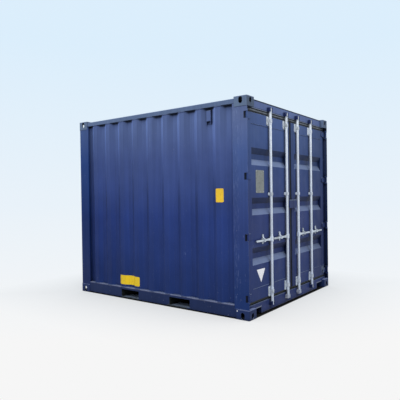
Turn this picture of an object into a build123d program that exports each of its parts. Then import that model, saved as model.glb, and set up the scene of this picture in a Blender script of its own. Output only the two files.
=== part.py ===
import os

from build123d import *

os.makedirs("parts", exist_ok=True)

# Outer box of the container
length = 2991.0
width = 2438.0
height = 2591.0

# Corner castings
casting_length = 178.0
casting_width = 162.0
casting_height = 118.0
casting_plate = 28.5
casting_wall = 14.0
casting_round = 12.0
lock_slot_length = 124.0
lock_slot_width = 63.5
lock_slot_from_end = 101.5
lock_slot_from_side = 89.0
side_hole_height = 79.0
side_hole_width = 51.0
side_hole_from_end = 89.0
end_hole_height = 64.0
end_hole_width = 51.0
end_hole_from_side = 81.0
hole_from_face = 46.0

# Steel thicknesses and how far their outer corners are broken
post_plate = 6.0
post_channel_wall = 12.0
rail_wall = 4.5
tube_wall = 3.0
sheet = 2.0
sill_wall = 4.5
post_bend = 9.0
rail_corner = 4.0
tube_corner = 5.0

# How far each face stands in from the outer planes of the castings
post_inset = 4.0
post_front_inset = 2.0
rail_inset = 6.0
panel_inset = 8.0
door_recess = 46.0

# Rails
underside = 12.5
bottom_rail_height = 150.0
top_flange = 48.0
bottom_flange = 30.0
top_rail_size = 60.0
top_rail_drop = 18.5

# Rear posts
rear_post_depth = 208.0
jamb_from_side = 49.0
jamb_from_door_face = 6.0
jamb_depth = 113.0

# Front posts
front_post_depth = 188.0
front_post_width = 172.0
post_return = 46.0

# Side wall corrugation
ridge_pitch = 278.0
ridge_flat = 72.0
ridge_slope = 68.0
ridge_depth = 36.0
ridge_shift = 18.0

# Front wall corrugation
front_pitch = 250.0
front_flat = 110.0
front_slope = 18.0
front_depth = 45.0

# Roof
roof_sheet = 2.0
roof_edge = 14.0
trough_pitch = 209.0
trough_width = 110.0
trough_depth = 20.0
trough_from_side = 119.0
trough_taper = 38.0
roof_plate = 4.0
roof_plate_width = 300.0
roof_plate_depth = 120.0

# Floor and understructure
board = 28.0
board_gap = 3.0
floor_side_gap = 4.0
cross_flange = 45.0
cross_wall = 4.0
cross_from_middle = 170.0
cross_from_pocket = 75.0
cross_from_end = 315.5
pocket_centre = 450.0
pocket_width = 350.0
pocket_bottom = 30.0
pocket_wall = 4.0
strap_length = 200.0
threshold_plate = 3.0
threshold_depth = 180.0

# Door header and sill
header_depth = 106.0
header_top_drop = 6.0
sill_face_top = 145.0
sill_recess_width = 200.0
sill_recess_height = 75.0
sill_recess_plate = 9.0

# Ventilators
vent_width = 62.0
vent_height = 178.0
vent_depth = 30.0
vent_top_drop = 101.0
vent_wall = 2.5
vent_mouth = 38.0
vent_slot = 5.0
vent_slot_length = 40.0
vent_slot_pitch = 11.0
vent_slots = 3

# Door leaves
leaf_thickness = 50.0
leaf_side_gap = 20.0
left_leaf_gap = 44.0
right_leaf_gap = 14.0
leaf_above_sill = 38.0
leaf_below_header = 48.0
stile_width = 100.0
member_low_height = 147.0
member_high_height = 135.0
member_wall = 4.0
member_corner = 3.0
seal_gap = 5.0
seal_from_face = 6.0
seal_thickness = 30.0
seal_lip = 9.0
seal_groove_width = 12.0
seal_groove_depth = 6.0

# Door panel troughs
door_trough_pitch = 595.0
door_trough_flat = 64.0
door_trough_slope = 72.0
door_trough_depth = 38.0

# Hinges
hinge_count = 4
hinge_above_leaf_foot = 67.0
hinge_below_leaf_head = 54.0
pin_from_side = 20.0
pin_from_end = 13.0
pin_radius = 8.0
pin_clearance = 0.05
knuckle_radius = 12.0
knuckle_height = 72.0
blade_thickness = 10.0
blade_reach = 119.0
blade_arm = 14.0
blade_corner = 12.0
notch_height = 80.0
notch_depth = 28.5
lug_thickness = 20.0
lug_reach = 34.0
lug_nose = 10.0

# Locking rods
rod_from_leaf_edge = 530.0
rod_from_centre = 174.0
rod_radius = 16.5
rod_off_door = 25.0
rod_above_underside = 57.5
rod_below_header_top = 55.0
cam_radius = 23.0
cam_height = 36.0
cam_from_tip = 6.0
cam_across = 26.0

# Cam keepers
keeper_bore_gap = 1.0
keeper_mouth_gap = 1.5
keeper_half_width = 34.0
keeper_height = 50.0
keeper_front = 0.5
keeper_cheek = 6.0

# Rod guides
guide_gap = 0.3
guide_plate = 6.0
guide_strap = 3.4
guide_strap_corner = 7.5
guide_strap_height = 42.0
low_guide_height = 125.0
middle_guide_height = 38.0
high_guide_height = 113.0
guide_above_leaf_foot = 59.5
guide_above_leaf_middle = 152.0
guide_below_leaf_head = 60.5
guide_width = 120.0
middle_guide_width = 80.0
guide_corner = 10.0

# Handles
handle_height = 893.0
handle_short_of_rod = 66.0
handle_bar = 22.0
handle_thickness = 12.0
handle_pivot = 38.0
handle_pin_radius = 6.0
hub_lug = 10.0
hub_radius = 14.0
fork_cheek = 5.0
fork_gap = 0.5
fork_length = 50.0
fork_slot_past_hub = 2.0
collar_half_width = 20.0
collar_corner = 8.0
collar_height = 60.0

# Handle catches
catch_width = 30.0
catch_corner = 5.0
catch_below_handle = 43.0
catch_above_handle = 72.0
catch_plate = 5.0
catch_seat_gap = 0.3
catch_shelf = 8.0
catch_lip_rise = 8.0
catch_lip_gap = 4.5
catch_lip = 4.5
eye_radius = 6.0
eye_from_top = 18.0

# Lock box over the meeting of the leaves
lock_box_low = 1262.0
lock_box_height = 112.0
lock_box_gap = 3.0
lock_box_depth = 30.0
lock_box_reach = 112.0
lock_box_wall = 3.0
lock_box_bend = 8.0

# Planes worked out from the sizes above
half_width = width / 2
half_length = length / 2
door_end = -half_length
door_face = door_end + door_recess
top_casting_bottom = height - casting_height
top_rail_top = height - top_rail_drop
top_rail_bottom = top_rail_top - top_rail_size
rail_top = underside + bottom_rail_height
floor_underside = rail_top - board
header_top = height - header_top_drop
header_back = door_face + header_depth
jamb_x = half_width - jamb_from_side
pin_x = half_width - pin_from_side
pin_y = door_end + pin_from_end
post_back = door_end + rear_post_depth
front_post_back = half_length - front_post_depth
front_rail_face = half_length - rail_inset
inner_end = half_length - casting_length
inner_side = half_width - casting_width
plate_depth = post_inset + post_plate

# Levels and places on the door leaves
leaf_outer = jamb_x - leaf_side_gap
leaf_gap = {-1: left_leaf_gap, 1: right_leaf_gap}
leaf_bottom = sill_face_top + leaf_above_sill
leaf_top = top_casting_bottom - leaf_below_header
leaf_back = door_face + leaf_thickness
hinge_low = leaf_bottom + hinge_above_leaf_foot
hinge_rise = (leaf_top - hinge_below_leaf_head - hinge_low) / (hinge_count - 1)
hinge_places = [hinge_low + i * hinge_rise for i in range(hinge_count)]
rod_y = door_face - rod_off_door
rod_low = underside + rod_above_underside
rod_high = header_top - rod_below_header_top
rod_places = {"outer": leaf_outer - rod_from_leaf_edge, "inner": rod_from_centre}
handle_length = rod_places["outer"] - rod_places["inner"] - handle_short_of_rod
cheek_span = hub_lug + 2 * fork_gap + 2 * fork_cheek


def save(part, name):
    part.label = name
    export_step(part, "parts/" + name + ".step")


def from_side(side, depth):
    """X of a plane that lies a depth inside the side plane."""
    return side * (half_width - depth)


def upright(x, y, z):
    """A plane that faces the door end, with its own X along the width."""
    return Plane(origin=(x, y, z), x_dir=(1, 0, 0), z_dir=(0, -1, 0))


def box(x, y, z, mode=Mode.ADD):
    """A block between two values on each axis."""
    middle = ((x[0] + x[1]) / 2, (y[0] + y[1]) / 2, (z[0] + z[1]) / 2)
    with Locations(middle):
        Box(abs(x[1] - x[0]), abs(y[1] - y[0]), abs(z[1] - z[0]), mode=mode)


def prism(points, low, high, mode=Mode.ADD, bends=()):
    """A plan outline carried up from one height to another; bends are points to round, with their radii."""
    with BuildSketch(Plane.XY.offset(low)) as plan:
        with BuildLine():
            Polyline(*points, close=True)
        make_face()
        for point, radius in bends:
            fillet(plan.vertices().sort_by_distance((*point, 0))[0], radius)
    extrude(plan.sketch, amount=high - low, mode=mode)


def bent_sheet(plane, line, run, side):
    """A pressed sheet: its outer line, thickened to one side and carried along the plane's normal."""
    with BuildSketch(plane) as section:
        with BuildLine():
            Polyline(*line)
            offset(amount=sheet, side=side, kind=Kind.INTERSECTION)
        make_face()
    extrude(section.sketch, amount=run)


# Corner castings
corners = [(side, end) for side in (-1, 1) for end in (-1, 1)]


def casting(side, end, low):
    """One hollow casting: side and end are the signs of its corner."""
    x_out = side * half_width
    y_out = end * half_length
    x_in = x_out - side * casting_width
    y_in = y_out - end * casting_length
    high = low + casting_height
    at_top = low > 0
    slot_low = high - casting_plate if at_top else low
    hole_z = high - hole_from_face if at_top else low + hole_from_face
    cavity_low = low + (casting_wall if at_top else casting_plate)
    cavity_high = high - (casting_plate if at_top else casting_wall)
    box((x_in, x_out), (y_in, y_out), (low, high))
    box(
        (x_in + side * casting_wall, x_out - side * casting_wall),
        (y_in + end * casting_wall, y_out - end * casting_wall),
        (cavity_low, cavity_high),
        mode=Mode.SUBTRACT,
    )
    with BuildSketch(Plane.XY.offset(slot_low)) as lock_slot:
        with Locations((x_out - side * lock_slot_from_side, y_out - end * lock_slot_from_end)):
            Circle(lock_slot_length / 2)
            Rectangle(lock_slot_width, lock_slot_length, mode=Mode.INTERSECT)
    extrude(lock_slot.sketch, amount=casting_plate, mode=Mode.SUBTRACT)
    side_plane = Plane(origin=(x_out, 0, 0), x_dir=(0, 1, 0), z_dir=(1, 0, 0))
    with BuildSketch(side_plane) as side_hole:
        with Locations((y_out - end * side_hole_from_end, hole_z)):
            SlotOverall(side_hole_height, side_hole_width, rotation=90)
    extrude(side_hole.sketch, amount=-side * casting_wall, mode=Mode.SUBTRACT)
    with BuildSketch(upright(0, y_out, 0)) as end_hole:
        with Locations((x_out - side * end_hole_from_side, hole_z)):
            SlotOverall(end_hole_height, end_hole_width, rotation=90)
    extrude(end_hole.sketch, amount=end * casting_wall, mode=Mode.SUBTRACT)


def corner_edges(part):
    """The upright edges at the container's own four corners."""
    at_corner = (half_width**2 + half_length**2) ** 0.5 - casting_round
    upright_edges = part.edges().filter_by(Axis.Z)
    return [e for e in upright_edges if (e.center().X ** 2 + e.center().Y ** 2) ** 0.5 > at_corner]


for name, low in {"bottom_castings": 0.0, "top_castings": top_casting_bottom}.items():
    with BuildPart() as castings:
        for side, end in corners:
            casting(side, end, low)
        fillet(corner_edges(castings), casting_round)
    save(castings.part, name)

# Rear posts: outer pressed plate with its notches for the hinges
with BuildPart() as rear_posts:
    for side in (-1, 1):
        outside = from_side(side, post_inset)
        inside = from_side(side, plate_depth)
        jamb = from_side(side, jamb_from_side)
        return_face = from_side(side, jamb_from_side - post_plate)
        front = door_end + post_front_inset
        plate_back = post_back - post_plate
        jamb_back = door_face + jamb_from_door_face + jamb_depth
        bends = [((outside, post_back), post_bend), ((inside, plate_back), post_bend - post_plate)]
        outline = [
            (outside, front),
            (outside, post_back),
            (jamb, post_back),
            (jamb, jamb_back),
            (return_face, jamb_back),
            (return_face, plate_back),
            (inside, plate_back),
            (inside, front),
        ]
        prism(outline, casting_height, top_casting_bottom, bends=bends)
        ear = [
            (outside, -inner_end),
            (outside, post_back),
            (jamb, post_back),
            (jamb, plate_back),
            (inside, plate_back),
            (inside, -inner_end),
        ]
        prism(ear, top_casting_bottom, top_rail_bottom, bends=bends)
        for z in hinge_places:
            box(
                (side * half_width, inside),
                (door_end, door_end + notch_depth),
                (z - notch_height / 2, z + notch_height / 2),
                mode=Mode.SUBTRACT,
            )
save(rear_posts.part, "rear_posts")

# Rear posts: inner channel, the jamb that the door seals meet
with BuildPart() as rear_post_channels:
    for side in (-1, 1):
        outer = from_side(side, plate_depth)
        jamb = from_side(side, jamb_from_side)
        web = from_side(side, jamb_from_side - post_channel_wall)
        front = door_face + jamb_from_door_face
        back = front + jamb_depth
        outline = [
            (outer, front),
            (jamb, front),
            (jamb, back),
            (outer, back),
            (outer, back - post_channel_wall),
            (web, back - post_channel_wall),
            (web, front + post_channel_wall),
            (outer, front + post_channel_wall),
        ]
        prism(outline, casting_height, top_casting_bottom)
save(rear_post_channels.part, "rear_post_channels")

# Front posts: one pressed plate each, with a return at both edges
with BuildPart() as front_posts:
    for side in (-1, 1):
        outside = from_side(side, post_inset)
        inside = from_side(side, plate_depth)
        side_lip = from_side(side, post_inset + post_return)
        end_edge = from_side(side, front_post_width)
        end_web = from_side(side, front_post_width - post_plate)
        at_casting = from_side(side, casting_width)
        y_out = half_length - post_inset
        y_in = y_out - post_plate
        y_lip = y_out - post_return
        y_back = front_post_back
        y_web = y_back + post_plate
        outer_bends = [((outside, y_back), post_bend), ((inside, y_web), post_bend - post_plate)]
        outline = [
            (outside, y_out),
            (end_edge, y_out),
            (end_edge, y_lip),
            (end_web, y_lip),
            (end_web, y_in),
            (inside, y_in),
            (inside, y_web),
            (side_lip, y_web),
            (side_lip, y_back),
            (outside, y_back),
        ]
        corner_bends = [((outside, y_out), post_bend), ((inside, y_in), post_bend - post_plate)]
        prism(outline, casting_height, top_casting_bottom, bends=outer_bends + corner_bends)
        side_ear = [
            (outside, inner_end),
            (inside, inner_end),
            (inside, y_web),
            (side_lip, y_web),
            (side_lip, y_back),
            (outside, y_back),
        ]
        prism(side_ear, top_casting_bottom, top_rail_bottom, bends=outer_bends)
        end_ear = [
            (at_casting, y_out),
            (end_edge, y_out),
            (end_edge, y_lip),
            (end_web, y_lip),
            (end_web, y_in),
            (at_casting, y_in),
        ]
        prism(end_ear, top_casting_bottom, top_rail_bottom)
save(front_posts.part, "front_posts")


# Top side rails and front header: square tubes
def square_tube(plane, run):
    """A square tube along the plane's normal, centred on it."""
    with BuildSketch(plane) as section:
        Rectangle(top_rail_size, top_rail_size)
        chamfer(section.vertices(), tube_corner)
        Rectangle(top_rail_size - 2 * tube_wall, top_rail_size - 2 * tube_wall, mode=Mode.SUBTRACT)
    extrude(section.sketch, amount=run)


tube_z = top_rail_top - top_rail_size / 2
with BuildPart() as top_side_rails:
    for side in (-1, 1):
        tube_start = (from_side(side, rail_inset + top_rail_size / 2), -inner_end, tube_z)
        square_tube(Plane(origin=tube_start, x_dir=(0, 0, 1), z_dir=(0, 1, 0)), 2 * inner_end)
save(top_side_rails.part, "top_side_rails")

with BuildPart() as front_header:
    tube_start = (-inner_side, front_rail_face - top_rail_size / 2, tube_z)
    square_tube(Plane(origin=tube_start, x_dir=(0, 0, 1), z_dir=(1, 0, 0)), 2 * inner_side)
save(front_header.part, "front_header")


# Bottom rails: channels with their flanges turned inward
def channel_rail(plane, run):
    """A channel along the plane's normal, with its web on the plane's own Z axis."""
    with BuildSketch(plane) as section:
        with BuildLine():
            Polyline(
                (0, underside),
                (bottom_flange + rail_wall, underside),
                (bottom_flange + rail_wall, underside + rail_wall),
                (rail_wall, underside + rail_wall),
                (rail_wall, rail_top - rail_wall),
                (top_flange, rail_top - rail_wall),
                (top_flange, rail_top),
                (0, rail_top),
                close=True,
            )
        make_face()
        chamfer(section.vertices().group_by(Axis.X)[0], rail_corner)
    extrude(section.sketch, amount=run)


with BuildPart() as bottom_side_rails:
    for side in (-1, 1):
        rail_plane = Plane(
            origin=(from_side(side, rail_inset), -side * inner_end, 0),
            x_dir=(-side, 0, 0),
            z_dir=(0, side, 0),
        )
        channel_rail(rail_plane, 2 * inner_end)
        past_rail = (side * half_width, from_side(side, rail_inset + top_flange))
        box(past_rail, (-inner_end, post_back), (casting_height, rail_top), mode=Mode.SUBTRACT)
        box(past_rail, (front_post_back, inner_end), (casting_height, rail_top), mode=Mode.SUBTRACT)
        for end in (-1, 1):
            near = end * pocket_centre - pocket_width / 2 + pocket_wall
            box(
                (side * half_width, from_side(side, rail_inset + rail_wall)),
                (near, near + pocket_width - 2 * pocket_wall),
                (pocket_bottom, floor_underside - pocket_wall),
                mode=Mode.SUBTRACT,
            )
save(bottom_side_rails.part, "bottom_side_rails")

with BuildPart() as front_sill:
    sill_plane = Plane(origin=(inner_side, front_rail_face, 0), x_dir=(0, -1, 0), z_dir=(-1, 0, 0))
    channel_rail(sill_plane, 2 * inner_side)
    for side in (-1, 1):
        box(
            (side * inner_side, from_side(side, front_post_width)),
            (front_rail_face - top_flange, front_rail_face),
            (casting_height, rail_top),
            mode=Mode.SUBTRACT,
        )
save(front_sill.part, "front_sill")

# Door header: a closed box between the top castings
with BuildPart() as door_header:
    header_middle = (door_face + header_back) / 2
    header_plane = Plane(
        origin=(-inner_side, header_middle, (top_casting_bottom + header_top) / 2),
        x_dir=(0, 1, 0),
        z_dir=(1, 0, 0),
    )
    header_height = header_top - top_casting_bottom
    with BuildSketch(header_plane) as header_section:
        Rectangle(header_depth, header_height)
        chamfer(header_section.vertices(), rail_corner)
        Rectangle(header_depth - 2 * sill_wall, header_height - 2 * sill_wall, mode=Mode.SUBTRACT)
    extrude(amount=2 * inner_side)
save(door_header.part, "door_header")

# Door sill: an open section with a sloping top, recessed and lined beside each casting
with BuildPart() as door_sill:
    with BuildSketch(Plane(origin=(-jamb_x, 0, 0), x_dir=(0, 1, 0), z_dir=(1, 0, 0))):
        with BuildLine():
            Polyline(
                (door_face, underside),
                (door_face, sill_face_top),
                (header_back, rail_top),
                (header_back, underside),
                (header_back - sill_wall, underside),
                (header_back - sill_wall, rail_top - 2 * sill_wall),
                (door_face + sill_wall, sill_face_top - sill_wall),
                (door_face + sill_wall, underside + sill_wall),
                (door_face + bottom_flange, underside + sill_wall),
                (door_face + bottom_flange, underside),
                close=True,
            )
        make_face()
    extrude(amount=2 * jamb_x)
    for side in (-1, 1):
        box(
            (side * inner_side, side * jamb_x),
            (door_end, header_back),
            (0, casting_height),
            mode=Mode.SUBTRACT,
        )
        recess_in = side * (inner_side - sill_recess_width)
        recess_top = underside + sill_recess_height
        box(
            (recess_in - side * sill_recess_plate, side * inner_side),
            (door_face, header_back),
            (underside, recess_top + sill_recess_plate),
        )
        box(
            (recess_in, side * inner_side),
            (door_face, header_back),
            (underside, recess_top),
            mode=Mode.SUBTRACT,
        )
save(door_sill.part, "door_sill")


# Corrugated walls
def wave(start, stop, places, flat, slope, depth):
    """Outer line of a pressed wall: places are the centres of its outward ridges."""
    line = [(start, depth)]
    for place in places:
        line.append((place - flat / 2 - slope, depth))
        line.append((place - flat / 2, 0))
        line.append((place + flat / 2, 0))
        line.append((place + flat / 2 + slope, depth))
    line.append((stop, depth))
    return line


def spread(middle, pitch, count):
    """Evenly spaced places about a middle."""
    return [middle + (i - (count - 1) / 2) * pitch for i in range(count)]


side_middle = (post_back + front_post_back) / 2 + ridge_shift
ridge_count = int((front_post_back - post_back) // ridge_pitch)
ridge_centres = spread(side_middle, ridge_pitch, ridge_count)
wall_height = top_rail_bottom - rail_top

for name, side in {"left_side_panel": -1, "right_side_panel": 1}.items():
    with BuildPart() as side_panel:
        side_line = wave(post_back, front_post_back, ridge_centres, ridge_flat, ridge_slope, ridge_depth)
        bent_sheet(
            Plane.XY.offset(rail_top),
            [(from_side(side, panel_inset + v), u) for u, v in side_line],
            wall_height,
            Side.LEFT if side > 0 else Side.RIGHT,
        )
    save(side_panel.part, name)

front_half = half_width - front_post_width
front_centres = spread(0, front_pitch, int(2 * front_half // front_pitch))
with BuildPart() as front_panel:
    front_line = wave(-front_half, front_half, front_centres, front_flat, front_slope, front_depth)
    bent_sheet(
        Plane.XY.offset(rail_top),
        [(u, half_length - panel_inset - v) for u, v in front_line],
        wall_height,
        Side.RIGHT,
    )
save(front_panel.part, "front_panel")

# Roof: one sheet with pressed troughs across it, notched at the castings
roof_front = front_rail_face - roof_edge
roof_side = half_width - rail_inset - roof_edge
roof_middle = (header_back + roof_front) / 2
trough_half = half_width - trough_from_side
trough_count = int((roof_front - header_back - 2 * roof_plate_depth) // trough_pitch)
with BuildPart() as roof_panel:
    box((-roof_side, roof_side), (header_back, roof_front), (top_rail_top, top_rail_top + roof_sheet))
    for side, end in corners:
        box(
            (side * inner_side, side * half_width),
            (end * inner_end, end * half_length),
            (top_rail_top, height),
            mode=Mode.SUBTRACT,
        )
    presses = {top_rail_top: Mode.ADD, top_rail_top + roof_sheet: Mode.SUBTRACT}
    for level, mode in presses.items():
        for y in spread(roof_middle, trough_pitch, trough_count):
            with BuildSketch(Plane.XY.offset(level)):
                with Locations((0, y)):
                    Rectangle(2 * trough_half, trough_width)
            extrude(amount=-trough_depth, taper=trough_taper, mode=mode)
save(roof_panel.part, "roof_panel")

with BuildPart() as roof_corner_plates:
    for side, end in corners:
        y = header_back if end < 0 else roof_front
        box(
            (side * inner_side, side * (inner_side - roof_plate_width)),
            (y, y - end * roof_plate_depth),
            (top_rail_top + roof_sheet, top_rail_top + roof_sheet + roof_plate),
        )
save(roof_corner_plates.part, "roof_corner_plates")

# Cross members: channels between the side rails, under the floor
web_inner = half_width - rail_inset - rail_wall
cross_low = underside + rail_wall
cross_beside_pocket = pocket_centre + pocket_width / 2 + cross_from_pocket
cross_at_end = half_length - cross_from_end
cross_between = (cross_beside_pocket + cross_at_end) / 2
cross_reaches = [cross_from_middle, cross_beside_pocket, cross_between, cross_at_end]
with BuildPart() as cross_members:
    for y in [end * reach for end in (-1, 1) for reach in cross_reaches]:
        box((-web_inner, web_inner), (y, y + cross_flange), (cross_low, floor_underside))
        box(
            (-web_inner, web_inner),
            (y + cross_wall, y + cross_flange),
            (cross_low + cross_wall, floor_underside - cross_wall),
            mode=Mode.SUBTRACT,
        )
save(cross_members.part, "cross_members")

# Forklift pockets: tunnels from side to side, closed below by a strap at each mouth
with BuildPart() as forklift_pockets:
    for end in (-1, 1):
        y_low = end * pocket_centre - pocket_width / 2
        y_high = end * pocket_centre + pocket_width / 2
        box((-web_inner, web_inner), (y_low, y_high), (cross_low, floor_underside))
        box(
            (-web_inner, web_inner),
            (y_low + pocket_wall, y_high - pocket_wall),
            (cross_low + pocket_wall, floor_underside - pocket_wall),
            mode=Mode.SUBTRACT,
        )
        box(
            (-web_inner + strap_length, web_inner - strap_length),
            (y_low + pocket_wall, y_high - pocket_wall),
            (cross_low, cross_low + pocket_wall),
            mode=Mode.SUBTRACT,
        )
save(forklift_pockets.part, "forklift_pockets")

# Floor boards on the cross members, and the steel plate inside the doors
floor_edge = half_width - rail_inset - top_flange - floor_side_gap
floor_front = front_rail_face - top_flange - floor_side_gap
floor_middle = (header_back + floor_front) / 2
with BuildPart() as floor_boards:
    box((-floor_edge, floor_edge), (header_back, floor_front), (floor_underside, rail_top))
    box(
        (-board_gap / 2, board_gap / 2),
        (header_back, floor_front),
        (floor_underside, rail_top),
        mode=Mode.SUBTRACT,
    )
    box(
        (-floor_edge, floor_edge),
        (floor_middle - board_gap / 2, floor_middle + board_gap / 2),
        (floor_underside, rail_top),
        mode=Mode.SUBTRACT,
    )
save(floor_boards.part, "floor_boards")

with BuildPart() as threshold:
    box(
        (-floor_edge, floor_edge),
        (header_back, header_back + threshold_depth),
        (rail_top, rail_top + threshold_plate),
    )
save(threshold.part, "threshold")

# Ventilators: a cowl in a recess of each side wall, open at its foot over a slotted back plate
vent_y = (ridge_centres[0] + ridge_centres[1]) / 2
vent_high = height - vent_top_drop
vent_low = vent_high - vent_height
with BuildPart() as ventilators:
    for side in (-1, 1):
        seat = from_side(side, panel_inset + ridge_depth)
        face = from_side(side, panel_inset + ridge_depth - vent_depth)
        back_plate = seat + side * vent_wall
        across = (vent_y - vent_width / 2 + vent_wall, vent_y + vent_width / 2 - vent_wall)
        with BuildSketch(upright(0, vent_y - vent_width / 2, 0)):
            with BuildLine():
                Polyline(
                    (seat, vent_low),
                    (face, vent_low),
                    (face, vent_high - vent_depth / 2),
                    (seat, vent_high),
                    close=True,
                )
            make_face()
        extrude(amount=-vent_width)
        box((back_plate, face), across, (vent_low, vent_low + vent_mouth), mode=Mode.SUBTRACT)
        box(
            (back_plate, face - side * vent_wall),
            across,
            (vent_low, vent_high - vent_depth / 2 - vent_wall),
            mode=Mode.SUBTRACT,
        )
        for i in range(vent_slots):
            z = vent_low + vent_slot_pitch * (i + 1)
            box(
                (seat, back_plate),
                (vent_y - vent_slot_length / 2, vent_y + vent_slot_length / 2),
                (z - vent_slot, z),
                mode=Mode.SUBTRACT,
            )
save(ventilators.part, "ventilators")

# Cam keepers: blocks bored for the rod ends, each open at the front by less than a cam is wide
keeper_lows = [
    rod_low + cam_from_tip - (keeper_height - cam_height) / 2,
    rod_high - cam_from_tip - cam_height - (keeper_height - cam_height) / 2,
]
with BuildPart() as cam_keepers:
    for x in [side * place for side in (-1, 1) for place in rod_places.values()]:
        for low in keeper_lows:
            with BuildSketch(Plane.XY.offset(low)) as keeper:
                with Locations((x, (door_end + keeper_front + door_face) / 2)):
                    Rectangle(2 * keeper_half_width, door_recess - keeper_front)
                chamfer(keeper.vertices().group_by(Axis.Y)[0], keeper_cheek)
                with Locations((x, rod_y)):
                    Circle(cam_radius + keeper_bore_gap, mode=Mode.SUBTRACT)
                with Locations((x, (door_end + rod_y) / 2)):
                    Rectangle(2 * (rod_radius + keeper_mouth_gap), rod_y - door_end, mode=Mode.SUBTRACT)
            extrude(amount=keeper_height)
save(cam_keepers.part, "cam_keepers")

# Hinge lugs with their pins, in the mouth of each rear post
with BuildPart() as hinge_lugs:
    for side in (-1, 1):
        near = from_side(side, plate_depth)
        far = from_side(side, lug_reach)
        nose = far + side * lug_nose
        for z in hinge_places:
            lug_plan = [
                (near, pin_y - lug_nose),
                (nose, pin_y - lug_nose),
                (far, pin_y),
                (far, door_face + jamb_from_door_face),
                (near, door_face + jamb_from_door_face),
            ]
            prism(lug_plan, z - notch_height / 2 - lug_thickness, z - notch_height / 2)
            prism(lug_plan, z + notch_height / 2, z + notch_height / 2 + lug_thickness)
            with BuildSketch(Plane.XY.offset(z - notch_height / 2)):
                with Locations((side * pin_x, pin_y)):
                    Circle(pin_radius)
            extrude(amount=notch_height)
save(hinge_lugs.part, "hinge_lugs")


# Door leaves
def leaf_frame(side):
    """Welded frame of tubes and channels, open to the inside at top and bottom."""
    outer = side * leaf_outer
    inner = side * leaf_gap[side]
    stile_in = (outer - side * stile_width, inner + side * stile_width)
    panel_low = leaf_bottom + member_low_height
    panel_high = leaf_top - member_high_height
    with BuildSketch(upright(0, leaf_back, 0)) as face:
        with Locations(((outer + inner) / 2, (leaf_bottom + leaf_top) / 2)):
            Rectangle(abs(outer - inner), leaf_top - leaf_bottom)
        with Locations(((outer + inner) / 2, (panel_low + panel_high) / 2)):
            Rectangle(abs(stile_in[0] - stile_in[1]), panel_high - panel_low, mode=Mode.SUBTRACT)
    frame = extrude(face.sketch, amount=leaf_thickness)
    chamfer(frame.faces().sort_by(Axis.Y)[0].edges(), member_corner)
    for low, high in ((leaf_bottom, panel_low), (panel_high, leaf_top)):
        hollow = (low + member_wall, high - member_wall)
        box(stile_in, (door_face + member_wall, leaf_back), hollow, mode=Mode.SUBTRACT)


def leaf_panel(side):
    """Sheet with level troughs, welded inside the frame."""
    outer = side * (leaf_outer - stile_width)
    inner = side * (leaf_gap[side] + stile_width)
    low = leaf_bottom + member_low_height
    high = leaf_top - member_high_height
    face = door_face + sheet
    line = [(face, low)]
    for place in spread((low + high) / 2, door_trough_pitch, int((high - low) // door_trough_pitch)):
        line.append((face, place - door_trough_flat / 2 - door_trough_slope))
        line.append((face + door_trough_depth, place - door_trough_flat / 2))
        line.append((face + door_trough_depth, place + door_trough_flat / 2))
        line.append((face, place + door_trough_flat / 2 + door_trough_slope))
    line.append((face, high))
    section_plane = Plane(origin=(min(outer, inner), 0, 0), x_dir=(0, 1, 0), z_dir=(1, 0, 0))
    bent_sheet(section_plane, line, abs(outer - inner), Side.RIGHT)


def leaf_seal(side):
    """Rubber frame round the leaf: two lips with a groove between them."""
    outer = side * (jamb_x - seal_gap)
    inner = side * seal_gap
    low = sill_face_top + seal_gap + seal_lip
    high = top_casting_bottom - seal_gap
    front = door_face + seal_from_face
    back = front + seal_thickness
    groove = (front + back - seal_groove_width) / 2
    box((outer, inner), (front, back), (low, high))
    box(
        (outer, inner),
        (groove, groove + seal_groove_width),
        (low, high),
        mode=Mode.SUBTRACT,
    )
    box(
        (outer - side * seal_groove_depth, inner + side * seal_groove_depth),
        (groove, groove + seal_groove_width),
        (low + seal_groove_depth, high - seal_groove_depth),
    )
    leaf_width = (side * leaf_outer, side * leaf_gap[side])
    box(leaf_width, (front, back), (leaf_bottom, leaf_top), mode=Mode.SUBTRACT)


def hinge_blades(side):
    """Cranked straps: a knuckle on the pin, an arm into the recess and a flat on the leaf."""
    x = side * pin_x
    blade_end = x - side * blade_reach
    for z in hinge_places:
        with BuildSketch(Plane.XY.offset(z - knuckle_height / 2)) as blade:
            with Locations((x, pin_y)):
                Circle(knuckle_radius)
            with BuildLine():
                Polyline(
                    (x + side * blade_arm / 2, pin_y),
                    (x + side * blade_arm / 2, door_face),
                    (blade_end, door_face),
                    (blade_end, door_face - blade_thickness),
                    (x - side * blade_arm / 2, door_face - blade_thickness),
                    (x - side * blade_arm / 2, pin_y),
                    close=True,
                )
            make_face()
            with Locations((x, pin_y)):
                Circle(pin_radius + pin_clearance, mode=Mode.SUBTRACT)
        strap = extrude(blade.sketch, amount=knuckle_height)
        free_edges = strap.edges().filter_by(Axis.Y).group_by(Axis.X)[0 if side > 0 else -1]
        chamfer(free_edges, blade_corner)


# Each guide of a rod: height of its middle, its height and its width
leaf_middle = (leaf_bottom + leaf_top) / 2
guides = [
    (leaf_bottom + guide_above_leaf_foot, low_guide_height, guide_width),
    (leaf_middle + guide_above_leaf_middle, middle_guide_height, middle_guide_width),
    (leaf_top - guide_below_leaf_head, high_guide_height, guide_width),
]


def hat(x, half, corner):
    """Plan outline of a strap's outside or inside: from the base plate round the front of the rod."""
    back = door_face - guide_plate
    front = rod_y - half
    return [
        (x - half, back),
        (x - half, front + corner),
        (x - half + corner, front),
        (x + half - corner, front),
        (x + half, front + corner),
        (x + half, back),
    ]


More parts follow.
